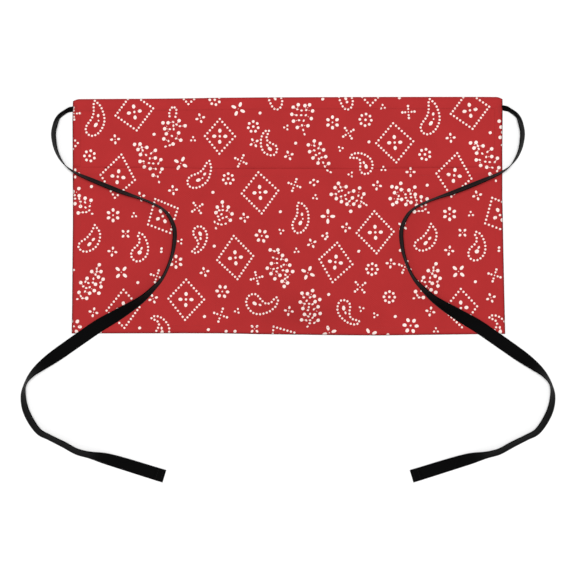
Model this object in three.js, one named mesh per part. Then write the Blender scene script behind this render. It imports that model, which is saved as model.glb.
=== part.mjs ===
// A half waist apron lying flat with its front up: a hemmed body cloth, a wide pocket cloth sewn over its
// lower part with three open compartments, and two flat ribbon ties laid loosely over it.
// Millimetres. X runs along the waist, Y up the apron, Z out of its front. The cloth lies on Z = 0.
import * as THREE from "three";

// Cloth: the outline at rest, read up the sides and along the upper and lower edges.
const SIDE_ROWS = [
  { y: -141, left: -255.6, right: 255.6 },
  { y: -110, left: -254.7, right: 255.2 },
  { y: -46, left: -254.2, right: 254.2 },
  { y: -11, left: -253.8, right: 253.6 },
  { y: 22, left: -253.8, right: 252.9 },
  { y: 75, left: -254.1, right: 252.9 },
  { y: 112, left: -254.3, right: 253.2 },
  { y: 140.5, left: -253.6, right: 253.1 },
];
const SIDE_BENDS = SIDE_ROWS.slice(1, -1).map((row) => row.y); // where a side edge changes its direction
const EDGE_ROWS = [
  { x: -256, bottom: -139, top: 137.6 },
  { x: -172, bottom: -138.9, top: 138.1 },
  { x: -127, bottom: -138.8, top: 138.5 },
  { x: -80, bottom: -138.9, top: 139.3 },
  { x: -33, bottom: -139.7, top: 139.8 },
  { x: 60, bottom: -140.5, top: 140.2 },
  { x: 110, bottom: -140.5, top: 140.4 },
  { x: 160, bottom: -140.5, top: 140.5 },
  { x: 225, bottom: -139.9, top: 140.5 },
  { x: 256, bottom: -139.6, top: 140.2 },
];
const CORNER_RUN = 8; // how far along the upper edge each corner is rounded
const CORNER_DROP = 2.6;
const CORNER_SHARES = [0, 0.15, 0.4, 0.7, 1]; // where the rounding is cut into columns
const CLOTH = 1.2;
const HEM_WIDTH = 10;
const WAIST_HEM = 14.5;
const HEM_RISE = 1; // a folded hem stands this much above the single cloth
const HEM_STEP = 1; // the slope from the hem down to the single cloth

// Pocket: its mouth, which sags a little, its divider seams and how far the compartments stand open.
const MOUTH_ROWS = [
  { x: -256, y: 57.2 },
  { x: -216, y: 56.9 },
  { x: -157, y: 56.4 },
  { x: -74, y: 55.3 },
  { x: 85, y: 55.3 },
  { x: 197, y: 56.6 },
  { x: 256, y: 58.2 },
];
const DIVIDERS = [-85, 85];
const SEAM_HALF = 1.5; // half width of the line where a seam holds the pocket down
const SEAT = 0.3; // gap between cloths that touch
const POCKET_CLOTH = 1;
const GAPE = 6;
const GAPE_SIDE_RUN = 46; // the cloth rises to its full height this far from a seam
const GAPE_BOTTOM_RUN = 70;
const SIDE_SHARES = [0.18, 0.36, 0.56, 0.78, 1]; // where each rise is cut into columns and rows
const BOTTOM_SHARES = [0.12, 0.25, 0.4, 0.55, 0.7, 0.85, 1];

// Ties: one ribbon each side, the right one the mirror image of the left one.
const RIBBON_WIDTH = 15.5;
const RIBBON = 1;
const ROOT_WIDTH = 7.75; // folded in half along its length where the hem holds it
const ROOT_THICK = 1.9;
const ROOT_ROWS = 3; // the ribbon has opened to its full width by this row of the route
const END_FOLD_THICK = 1.8; // the ribbon is folded back on itself between the last two rows
const END_FOLD_STEP = 0.05; // the part of a row in which the fold steps up
const FLOOR_SEAT = 0.1;
const TIE_SEAT = 0.45; // gap between a tie and the cloth that it lies on
const CROSSING = 3; // a tie is lifted this far before it crosses an edge of the pocket
const STEPS_PER_ROW = 2;
const EASE_PASSES = 5; // how often the ribbon's height is eased over the edges that it crosses
const ACROSS = [-1, -0.5, 0, 0.5, 1]; // where the ribbon's width is tested against what it lies on
const SECTION = [
  { width: -1, face: -0.5 },
  { width: 1, face: -0.5 },
  { width: 1, face: 0.5 },
  { width: -1, face: 0.5 },
];
// roll is the ribbon's turn about its run, in degrees: 0 and 180 lie flat, 90 and 270 stand on edge.
const TIE_ROUTE = [
  { x: -254.4, y: 126.2, roll: 0 },
  { x: -260, y: 124.3, roll: 36 },
  { x: -266.6, y: 119.2, roll: 60 },
  { x: -272.3, y: 111.7, roll: 66.5 },
  { x: -276.1, y: 99.2, roll: 66.5 },
  { x: -275.4, y: 86.9, roll: 69 },
  { x: -272.6, y: 75.6, roll: 74.5 },
  { x: -267.2, y: 65.1, roll: 81.5 },
  { x: -259.6, y: 56.6, roll: 92 },
  { x: -248.4, y: 49.4, roll: 100 },
  { x: -231.3, y: 41.9, roll: 106.5 },
  { x: -212.1, y: 34, roll: 109 },
  { x: -192.2, y: 26.3, roll: 106.5 },
  { x: -174, y: 20.1, roll: 99.5 },
  { x: -159.7, y: 14.3, roll: 98.5 },
  { x: -147.9, y: 7.8, roll: 98.5 },
  { x: -140.2, y: -0.4, roll: 102.5 },
  { x: -133.7, y: -15.8, roll: 105 },
  { x: -134, y: -33.9, roll: 104.5 },
  { x: -137.8, y: -51.2, roll: 100 },
  { x: -147.5, y: -73, roll: 101 },
  { x: -158.7, y: -86.1, roll: 109.5 },
  { x: -172.5, y: -98.9, roll: 121.5 },
  { x: -199.9, y: -116.4, roll: 149.5 },
  { x: -223.5, y: -130.2, roll: 171 },
  { x: -243, y: -143.5, roll: 183 },
  { x: -266.7, y: -160.1, roll: 190 },
  { x: -289.7, y: -176.5, roll: 222 },
  { x: -301.5, y: -186.7, roll: 244 },
  { x: -309.4, y: -198.2, roll: 257 },
  { x: -311.9, y: -212.8, roll: 244.5 },
  { x: -308, y: -232, roll: 237 },
  { x: -293.6, y: -254.6, roll: 239 },
  { x: -281.5, y: -261.3, roll: 242.5 },
  { x: -264.4, y: -269.9, roll: 240.5 },
  { x: -248.7, y: -278.3, roll: 240 },
  { x: -233.1, y: -282.4, roll: 236.5 },
  { x: -212.2, y: -287.3, roll: 208 },
  { x: -158.4, y: -303.7, roll: 185 },
  { x: -145.8, y: -307.5, roll: 183 },
];

const RED_CLOTH = 0xb43232;
const BLACK_RIBBON = 0x161616;

const UP = new THREE.Vector3(0, 0, 1);

// Reads a column of a short table at any place, straight between its rows.
function readAt(rows, key, place, column) {
  let i = 1;
  while (i < rows.length - 1 && rows[i][key] < place) i++;
  const [a, b] = [rows[i - 1], rows[i]];
  const share = THREE.MathUtils.clamp((place - a[key]) / (b[key] - a[key]), 0, 1);
  return THREE.MathUtils.lerp(a[column], b[column], share);
}

const leftEdge = (y) => readAt(SIDE_ROWS, "y", y, "left");
const rightEdge = (y) => readAt(SIDE_ROWS, "y", y, "right");
const bottomEdge = (x) => readAt(EDGE_ROWS, "x", x, "bottom");
const mouthEdge = (x) => readAt(MOUTH_ROWS, "x", x, "y");

// The upper edge, which falls away in a curve at each corner.
function topEdge(x) {
  const straight = readAt(EDGE_ROWS, "x", x, "top");
  const side = x < 0 ? x - leftEdge(straight) : rightEdge(straight) - x;
  const past = THREE.MathUtils.clamp(1 - side / CORNER_RUN, 0, 1);
  return straight - CORNER_DROP * past * past;
}

// 0 at the inner foot of a hem and 1 on the hem, for a point this far from the edge.
const onHem = (inset, width = HEM_WIDTH) => 1 - THREE.MathUtils.smoothstep(inset, width - HEM_STEP, width);

// How far a point lies inside the nearer side edge.
const sideInset = (x, y) => Math.min(x - leftEdge(y), rightEdge(y) - x);

// The front of the body cloth: hems along the upper edge and down the sides to the pocket's mouth.
function bodyFront(x, y) {
  const aboveMouth = THREE.MathUtils.smoothstep(y - mouthEdge(x) - SEAT, 0, HEM_STEP);
  const hem = Math.max(onHem(topEdge(x) - y, WAIST_HEM), aboveMouth * onHem(sideInset(x, y)));
  return CLOTH + HEM_RISE * hem;
}

// How far the pocket stands off the body: nothing at the seams, and three open swells between them.
function gape(x, y) {
  let toSeam = sideInset(x, y) - HEM_WIDTH;
  for (const divider of DIVIDERS) toSeam = Math.min(toSeam, Math.abs(x - divider) - SEAM_HALF);
  const across = THREE.MathUtils.smoothstep(toSeam, 0, GAPE_SIDE_RUN);
  const up = THREE.MathUtils.smoothstep(y - bottomEdge(x) - HEM_WIDTH, 0, GAPE_BOTTOM_RUN);
  return GAPE * across * up;
}

const pocketBack = (x, y) => CLOTH + SEAT + gape(x, y);

// The front of the pocket cloth, with hems at its mouth, its sides and its lower edge.
function pocketFront(x, y) {
  const hem = Math.max(onHem(mouthEdge(x) - y), onHem(sideInset(x, y)), onHem(y - bottomEdge(x)));
  return pocketBack(x, y) + POCKET_CLOTH + HEM_RISE * hem;
}

// A closed wall of cloth between two heights, on a grid of columns across and rows up.
function clothWall(columns, rows, back, front) {
  const points = [];
  for (const height of [back, front]) {
    for (const row of rows) {
      for (const column of columns) {
        const y = row(column(row(0)));
        const x = column(y);
        points.push(x, y, height(x, y));
      }
    }
  }
  const wide = columns.length;
  const high = rows.length;
  const layer = wide * high;
  const faces = [];
  const quad = (a, b, c, d) => faces.push(a, b, c, a, c, d);
  for (let r = 0; r + 1 < high; r++) {
    for (let c = 0; c + 1 < wide; c++) {
      const a = r * wide + c;
      quad(a, a + wide, a + wide + 1, a + 1);
      quad(layer + a, layer + a + 1, layer + a + wide + 1, layer + a + wide);
    }
  }
  const rim = [];
  for (let c = 0; c + 1 < wide; c++) rim.push(c);
  for (let r = 0; r + 1 < high; r++) rim.push(r * wide + wide - 1);
  for (let c = wide - 1; c > 0; c--) rim.push((high - 1) * wide + c);
  for (let r = high - 1; r > 0; r--) rim.push(r * wide);
  rim.forEach((a, i) => {
    const b = rim[(i + 1) % rim.length];
    quad(a, b, layer + b, layer + a);
  });
  return closedMesh(points, faces);
}

function closedMesh(points, faces) {
  const geometry = new THREE.BufferGeometry();
  geometry.setAttribute("position", new THREE.Float32BufferAttribute(points, 3));
  geometry.setIndex(faces);
  geometry.computeVertexNormals();
  return geometry;
}

// A column gives its x at a height, and a row gives its y at a place along the waist.
const fromLeft = (inset) => (y) => leftEdge(y) + inset;
const fromRight = (inset) => (y) => rightEdge(y) - inset;
const fromBottom = (inset) => (x) => bottomEdge(x) + inset;
const fromTop = (inset) => (x) => topEdge(x) - inset;
const fromMouth = (step) => (x) => mouthEdge(x) + step;
const at = (place) => () => place;

function apronPanel() {
  const corner = CORNER_SHARES.map((share) => share * CORNER_RUN);
  const insets = [...corner, HEM_WIDTH - HEM_STEP, HEM_WIDTH];
  const columns = [
    ...insets.map(fromLeft),
    ...EDGE_ROWS.slice(1, -1).map((row) => at(row.x)),
    ...insets.toReversed().map(fromRight),
  ];
  const rows = [
    fromBottom(0),
    ...SIDE_BENDS.filter((y) => y < mouthEdge(0)).map(at),
    fromMouth(SEAT),
    fromMouth(SEAT + HEM_STEP),
    ...SIDE_BENDS.filter((y) => y > mouthEdge(0)).map(at),
    ...[WAIST_HEM, WAIST_HEM - HEM_STEP, 0].map(fromTop),
  ];
  return clothWall(columns, rows, () => 0, bodyFront);
}

function pocketPanel() {
  const hem = [0, HEM_WIDTH - HEM_STEP, HEM_WIDTH];
  const rise = SIDE_SHARES.map((share) => share * GAPE_SIDE_RUN);
  const fall = rise.toReversed();
  const seams = DIVIDERS.flatMap((x) => [
    ...fall.map((inset) => at(x - SEAM_HALF - inset)),
    at(x - SEAM_HALF),
    at(x + SEAM_HALF),
    ...rise.map((inset) => at(x + SEAM_HALF + inset)),
  ]);
  const columns = [
    ...hem.map(fromLeft),
    ...rise.map((inset) => fromLeft(HEM_WIDTH + inset)),
    ...seams,
    ...fall.map((inset) => fromRight(HEM_WIDTH + inset)),
    ...hem.toReversed().map(fromRight),
  ];
  const swell = BOTTOM_SHARES.map((share) => HEM_WIDTH + share * GAPE_BOTTOM_RUN);
  const swollen = bottomEdge(0) + HEM_WIDTH + GAPE_BOTTOM_RUN;
  const rows = [
    ...[...hem, ...swell].map(fromBottom),
    ...SIDE_BENDS.filter((y) => y > swollen && y < mouthEdge(0) - HEM_WIDTH).map(at),
    ...hem.toReversed().map((inset) => fromMouth(-inset)),
  ];
  return clothWall(columns, rows, pocketBack, pocketFront);
}

// The height of whatever a tie lies on, with the gap that it keeps.
function restUnder(x, y) {
  const margin = y < mouthEdge(x) + CROSSING ? CROSSING : SEAT;
  const inside = x > leftEdge(y) - margin && x < rightEdge(y) + margin;
  if (!inside || y < bottomEdge(x) - margin || y > topEdge(x) + SEAT) return FLOOR_SEAT;
  return TIE_SEAT + (y < mouthEdge(x) + margin ? pocketFront(x, y) : bodyFront(x, y));
}

// One ribbon as a run of four-cornered sections that roll about the route; side is -1 left and 1 right.
function tie(side) {
  const curve = new THREE.CatmullRomCurve3(
    TIE_ROUTE.map(({ x, y }) => new THREE.Vector3(x, y, 0)),
    false,
    "centripetal",
  );
  const last = TIE_ROUTE.length - 1;
  const fold = last - 1;
  const stations = Array.from({ length: last * STEPS_PER_ROW + 1 }, (_, step) => step / STEPS_PER_ROW);
  stations.splice(stations.indexOf(fold) + 1, 0, fold + END_FOLD_STEP);
  const sections = stations.map((row) => {
    const before = TIE_ROUTE[Math.floor(row)];
    const after = TIE_ROUTE[Math.ceil(row)];
    const opened = THREE.MathUtils.smoothstep(row, 0, ROOT_ROWS);
    const run = row ? curve.getTangent(row / last) : new THREE.Vector3(-1, 0, 0);
    const level = new THREE.Vector3().crossVectors(UP, run).normalize();
    const roll = THREE.MathUtils.degToRad(THREE.MathUtils.lerp(before.roll, after.roll, row % 1));
    return {
      centre: curve.getPoint(row / last),
      half: THREE.MathUtils.lerp(ROOT_WIDTH, RIBBON_WIDTH, opened) / 2,
      thick: row > fold ? END_FOLD_THICK : THREE.MathUtils.lerp(ROOT_THICK, RIBBON, opened),
      across: level.clone().multiplyScalar(Math.cos(roll)).addScaledVector(UP, Math.sin(roll)),
      through: level.clone().multiplyScalar(-Math.sin(roll)).addScaledVector(UP, Math.cos(roll)),
    };
  });
  liftOntoCloth(sections, side);
  return sweptRibbon(sections, side);
}

// A point of a section: width runs from -1 to 1 across the ribbon, and face from -0.5 to 0.5 through it.
function pointOn(section, width, face) {
  const point = section.centre.clone();
  point.addScaledVector(section.across, width * section.half);
  return point.addScaledVector(section.through, face * section.thick);
}

// Sets each section's height so that its lowest edge rests, then eases the run over the edges it crosses.
function liftOntoCloth(sections, side) {
  const needed = sections.map((section) => {
    const tested = ACROSS.flatMap((width) => [pointOn(section, width, -0.5), pointOn(section, width, 0.5)]);
    return Math.max(...tested.map((point) => restUnder(-side * point.x, point.y) - point.z));
  });
  let eased = needed;
  for (let pass = 0; pass < EASE_PASSES; pass++) {
    eased = eased.map((height, i) => {
      const beside = (eased[Math.max(i - 1, 0)] + eased[Math.min(i + 1, eased.length - 1)]) / 2;
      return Math.max(needed[i], (height + beside) / 2);
    });
  }
  sections.forEach((section, i) => {
    section.centre.z = eased[i];
  });
}

function sweptRibbon(sections, side) {
  const points = [];
  for (const section of sections) {
    for (const { width, face } of SECTION) {
      const corner = pointOn(section, width, face);
      points.push(-side * corner.x, corner.y, corner.z);
    }
  }
  const faces = [];
  // A mirrored ribbon has each of its faces turned round.
  const quad = (a, b, c, d) => (side < 0 ? faces.push(a, b, c, a, c, d) : faces.push(a, c, b, a, d, c));
  const sides = SECTION.length;
  for (let i = 0; i + 1 < sections.length; i++) {
    for (let k = 0; k < sides; k++) {
      const next = (k + 1) % sides;
      const around = [i * sides + k, i * sides + next, (i + 1) * sides + next, (i + 1) * sides + k];
      // The two wide faces are split along the same diagonal, so that a twist keeps the wall's thickness.
      if (k >= sides / 2) around.push(around.shift());
      quad(...around);
    }
  }
  quad(3, 2, 1, 0);
  const end = (sections.length - 1) * sides;
  quad(end, end + 1, end + 2, end + 3);
  return closedMesh(points, faces);
}

function named(name, geometry, colour, roughness) {
  const material = new THREE.MeshStandardMaterial({ color: colour, roughness, metalness: 0 });
  const mesh = new THREE.Mesh(geometry, material);
  mesh.name = name;
  return mesh;
}

const apron = new THREE.Group();
apron.add(named("apron_panel", apronPanel(), RED_CLOTH, 0.85));
apron.add(named("pocket_panel", pocketPanel(), RED_CLOTH, 0.85));
apron.add(named("tie_left", tie(-1), BLACK_RIBBON, 0.6));
apron.add(named("tie_right", tie(1), BLACK_RIBBON, 0.6));

export default apron;
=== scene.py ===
# Half waist apron in red printed twill with black ribbon ties, laid flat with its front up.
import math
import random

import bpy
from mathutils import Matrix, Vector
from mathutils.geometry import delaunay_2d_cdt


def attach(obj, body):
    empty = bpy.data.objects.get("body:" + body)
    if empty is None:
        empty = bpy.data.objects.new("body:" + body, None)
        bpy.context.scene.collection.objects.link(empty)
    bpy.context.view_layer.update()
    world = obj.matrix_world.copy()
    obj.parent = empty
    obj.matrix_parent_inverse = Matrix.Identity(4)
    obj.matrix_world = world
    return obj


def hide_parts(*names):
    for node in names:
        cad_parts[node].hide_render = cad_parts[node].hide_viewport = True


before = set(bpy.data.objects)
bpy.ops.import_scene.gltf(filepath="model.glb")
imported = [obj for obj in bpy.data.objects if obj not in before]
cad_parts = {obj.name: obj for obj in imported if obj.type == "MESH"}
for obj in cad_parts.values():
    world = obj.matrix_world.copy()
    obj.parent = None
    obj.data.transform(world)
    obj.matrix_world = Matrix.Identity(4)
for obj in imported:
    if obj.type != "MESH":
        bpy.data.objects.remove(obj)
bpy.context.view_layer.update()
mm = 0.001  # sizes are written in millimetres, and the scene is in metres
dice = random.Random(7)


def linear(hexColour):  # sRGB hex to the linear colour that shaders take
    channels = [int(hexColour[i:i + 2], 16) / 255 for i in (0, 2, 4)]
    return [c / 12.92 if c <= 0.04045 else ((c + 0.055) / 1.055) ** 2.4 for c in channels] + [1]


def ease(value, low, high):  # 0 below low, 1 above high, smooth between
    share = min(max((value - low) / (high - low), 0), 1)
    return share * share * (3 - 2 * share)


def mix(a, b, share):
    return a + (b - a) * share


def readAt(rows, place, column):  # straight between the rows of a short list
    i = 1
    while i < len(rows) - 1 and rows[i][0] < place:
        i += 1
    share = min(max((place - rows[i - 1][0]) / (rows[i][0] - rows[i - 1][0]), 0), 1)
    return mix(rows[i - 1][column], rows[i][column], share)


def evenSteps(points, step):  # run, point before and share of the way to the next, along a line of points
    reach = [0]
    for a, b in zip(points, points[1:]):
        reach.append(reach[-1] + (b - a).xy.length)
    count = round(reach[-1] / step)
    found, k = [], 0
    for i in range(count + 1):
        run = reach[-1] * i / count
        while k < len(points) - 2 and reach[k + 1] < run:
            k += 1
        found.append((run, k, (run - reach[k]) / (reach[k + 1] - reach[k])))
    return found


def feed(tree, node, feeds):  # a feed is a link from another socket, or a plain value
    for socket, value in feeds.items():
        if isinstance(value, bpy.types.NodeSocket):
            tree.links.new(value, node.inputs[socket])
        else:
            node.inputs[socket].default_value = value


def addNode(tree, kind, output=None, feeds=None, **settings):  # gives one output, or all of them
    # A kind that belongs to the tree is named without its prefix, ShaderNode or GeometryNode
    node = tree.nodes.new(kind if "Node" in kind else tree.bl_idname[:-4] + kind)
    for name, value in settings.items():
        setattr(node, name, value)
    feed(tree, node, feeds or {})
    return node.outputs if output is None else node.outputs[output]


def meshObject(name, points, faces, materials, slots):  # points in millimetres
    mesh = bpy.data.meshes.new(name)
    mesh.from_pydata([[c * mm for c in p] for p in points], [], faces)
    for material in materials:
        mesh.materials.append(material)
    mesh.polygons.foreach_set("material_index", slots)
    mesh.polygons.foreach_set("use_smooth", [True] * len(faces))
    mesh.update()
    thing = bpy.data.objects.new(name, mesh)
    bpy.context.collection.objects.link(thing)
    return thing


# Camera, floor and soft studio light
studio = {
    "pictureWidth": 576 * 1.18,  # 576 pixels at 1.18 mm each
    "pictureMiddle": (0, -85.4),
    "lens": 260,
    "sensor": 36,
    "floorSize": 16000,
    "floorDrop": 0.1,  # the floor lies just under the cloth
    "softboxes": [
        {"name": "frontSoftbox", "at": (0, -2600, 5200), "size": (5200, 3200), "watts": 34},
        {"name": "topSoftbox", "at": (0, 100, 5200), "size": (1400, 1400), "watts": 257},
    ],
    "roomLight": 0.21,
    "roomColour": "ffffff",
}

camera = bpy.data.objects.new("camera", bpy.data.cameras.new("camera"))
bpy.context.collection.objects.link(camera)
camera.data.lens = studio["lens"]
camera.data.sensor_width = studio["sensor"]
middleX, middleY = studio["pictureMiddle"]
cameraHeight = studio["pictureWidth"] * studio["lens"] / studio["sensor"]
camera.location = (middleX * mm, middleY * mm, cameraHeight * mm)  # looks straight down
bpy.context.scene.camera = camera
bpy.context.scene.view_settings.view_transform = "Standard"

for box in studio["softboxes"]:
    light = bpy.data.lights.new(box["name"], "AREA")
    light.shape = "RECTANGLE"
    light.size, light.size_y = (side * mm for side in box["size"])
    light.energy = box["watts"]
    lamp = bpy.data.objects.new(box["name"], light)
    lamp.location = [c * mm for c in box["at"]]
    aim = Vector((middleX * mm, middleY * mm, 0)) - lamp.location
    lamp.rotation_euler = aim.to_track_quat("-Z", "Y").to_euler()
    lamp.visible_camera = False
    bpy.context.collection.objects.link(lamp)

room = bpy.data.worlds.new("room")
bpy.context.scene.world = room
room.use_nodes = True
feed(room.node_tree, room.node_tree.nodes["Background"], {
    "Color": linear(studio["roomColour"]), "Strength": studio["roomLight"]})
print("studio ready")

# Materials
finishes = {  # colours are light and dark, sizes are in mm
    "twillRed": ("aa2d2e", "a12a2b"),
    "twillReverse": ("bd7972", "b56d67"),
    "printWhite": ("f3e5df", "eed6ce"),
    "ribbonBlack": ("0a0a0b", "030303"),
    "threadRed": ("aa2d2e", "9e2a2b"),
    "paper": ("f4f4f4", "f2f2f2"),
    "waveRun": 0.314,  # a wave texture of scale 1 repeats after this length
    "twillLine": 1.9,  # real twill lines are 0.6 mm apart, drawn coarser so that they show
    "mottle": 38,  # across a patch of lighter or darker dye
    "slub": 5,  # along a thick place in the yarn
    "slubTone": 0.5,  # what slubs and lines add to the patches of dye
    "lineTone": 0.28,
    "slubRelief": 0.8,
    "rib": 1.3,  # real ribs are 0.6 mm apart, drawn coarser so that they show
    "wear": 9,  # across a worn patch of the ribbon
    "strand": 0.9,  # along one turn of the sewing thread
}


def newMaterial(name, colours):
    material = bpy.data.materials.new(name)
    material.use_nodes = True
    tree = material.node_tree
    light, dark = (linear(hexColour) for hexColour in finishes[colours])
    return material, tree, tree.nodes["Principled BSDF"], light, dark


def waveScale(size):
    return finishes["waveRun"] / (finishes[size] * mm)


def twillCloth(name, colours, roughness, relief):
    # Woven cotton twill: matt, with faint diagonal lines, uneven dye and hardly any gloss
    material, tree, shader, light, dark = newMaterial(name, colours)
    place = addNode(tree, "TexCoord", "Object")
    diagonal = addNode(tree, "Mapping", "Vector", {
        "Vector": place, "Rotation": (0, 0, math.radians(-52))})
    lines = addNode(tree, "TexWave", "Fac", {
        "Vector": diagonal, "Scale": waveScale("twillLine"), "Distortion": 1.6, "Detail": 2,
        "Detail Scale": 2.5}, bands_direction="X")
    patches = addNode(tree, "TexNoise", "Fac", {
        "Vector": place, "Scale": 1 / (finishes["mottle"] * mm), "Detail": 3, "Roughness": 0.55})
    stretched = addNode(tree, "Mapping", "Vector", {"Vector": place, "Scale": (1, 3.5, 1)})
    slubs = addNode(tree, "TexNoise", "Fac", {
        "Vector": stretched, "Scale": 1 / (finishes["slub"] * mm), "Detail": 4, "Roughness": 0.6})
    uneven = addNode(tree, "Math", 0, {
        0: slubs, 1: finishes["slubTone"], 2: patches}, operation="MULTIPLY_ADD")
    lined = addNode(tree, "Math", 0, {
        0: lines, 1: finishes["lineTone"], 2: uneven}, operation="MULTIPLY_ADD")
    share = addNode(tree, "MapRange", "Result", {"Value": lined, "From Min": 0.55, "From Max": 1.25})
    colour = addNode(tree, "Mix", "Result", {
        "Factor": share, "A": dark, "B": light}, data_type="RGBA")
    # painted light and shade: the colour is scaled by a per-point attribute that darkens folds and soft
    # patches and lightens the waist hem and the pocket's mouth
    paintedShading = addNode(tree, "Attribute", "Fac", attribute_name="paintedShading")
    shadingFactor = addNode(tree, "Math", 0, {0: paintedShading, 1: 1}, operation="ADD")
    toned = addNode(tree, "VectorMath", "Vector", {
        0: colour, "Scale": shadingFactor}, operation="SCALE")
    smooth, rough = roughness
    dullness = addNode(tree, "MapRange", "Result", {"Value": slubs, "To Min": smooth, "To Max": rough})
    weave = addNode(tree, "Math", 0, {
        0: slubs, 1: finishes["slubRelief"], 2: lines}, operation="MULTIPLY_ADD")
    bump = addNode(tree, "Bump", "Normal", {
        "Height": weave, "Strength": relief, "Distance": 0.25 * mm})
    feed(tree, shader, {
        "Base Color": toned, "Roughness": dullness, "Normal": bump, "Specular IOR Level": 0.06})
    return material


def ribbedRibbon(name, colours):
    # Polyester grosgrain: black, ribs across the run, a dull sheen where it leans to the light
    material, tree, shader, light, dark = newMaterial(name, colours)
    run = addNode(tree, "UVMap", "UV", uv_map="ribbonRun")
    ribs = addNode(tree, "TexWave", "Fac", {
        "Vector": run, "Scale": waveScale("rib"), "Distortion": 0.4, "Detail": 1}, bands_direction="X")
    wear = addNode(tree, "TexNoise", "Fac", {
        "Vector": run, "Scale": 1 / (finishes["wear"] * mm), "Detail": 3})
    share = addNode(tree, "Math", 0, {0: ribs, 1: wear}, operation="MULTIPLY")
    colour = addNode(tree, "Mix", "Result", {
        "Factor": share, "A": dark, "B": light}, data_type="RGBA")
    rough = addNode(tree, "MapRange", "Result", {"Value": wear, "To Min": 0.7, "To Max": 0.85})
    bump = addNode(tree, "Bump", "Normal", {
        "Height": ribs, "Strength": 0.5, "Distance": 0.2 * mm})
    feed(tree, shader, {
        "Base Color": colour, "Roughness": rough, "Normal": bump, "Sheen Weight": 0.045,
        "Sheen Roughness": 0.4, "Specular IOR Level": 0.04})
    return material


def sewingThread(name, colours):
    # Spun polyester thread: the strands' twist shows as fine light and dark turns
    material, tree, shader, light, dark = newMaterial(name, colours)
    place = addNode(tree, "TexCoord", "Object")
    twist = addNode(tree, "TexWave", "Fac", {
        "Vector": place, "Scale": waveScale("strand"), "Distortion": 1}, bands_direction="DIAGONAL")
    colour = addNode(tree, "Mix", "Result", {
        "Factor": twist, "A": dark, "B": light}, data_type="RGBA")
    bump = addNode(tree, "Bump", "Normal", {
        "Height": twist, "Strength": 0.4, "Distance": 0.1 * mm})
    feed(tree, shader, {
        "Base Color": colour, "Roughness": 0.6, "Normal": bump, "Specular IOR Level": 0.2})
    return material


def mattPaper(name, colours):
    # Matt paper sweep: an even pale ground
    material, tree, shader, light, dark = newMaterial(name, colours)
    grain = addNode(tree, "TexNoise", "Fac", {"Scale": 60, "Detail": 3})
    colour = addNode(tree, "Mix", "Result", {
        "Factor": grain, "A": dark, "B": light}, data_type="RGBA")
    feed(tree, shader, {"Base Color": colour, "Roughness": 0.95, "Specular IOR Level": 0})
    return material


redTwill = twillCloth("red_cotton_twill", "twillRed", roughness=(0.8, 0.92), relief=0.35)
whitePrint = twillCloth("white_pigment_print", "printWhite", roughness=(0.74, 0.86), relief=0.2)
twillBack = twillCloth("red_twill_reverse", "twillReverse", roughness=(0.84, 0.96), relief=0.4)
blackRibbon = ribbedRibbon("black_grosgrain_ribbon", "ribbonBlack")
redThread = sewingThread("red_polyester_thread", "threadRed")
blackThread = sewingThread("black_polyester_thread", "ribbonBlack")
paper = mattPaper("matt_white_paper", "paper")

half = studio["floorSize"] / 2
corners = [(-half, -half), (half, -half), (half, half), (-half, half)]
floorPoints = [(x, y, -studio["floorDrop"]) for x, y in corners]
floor = meshObject("floor", floorPoints, [(0, 1, 2, 3)], [paper], [0])
print("materials ready")

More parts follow.
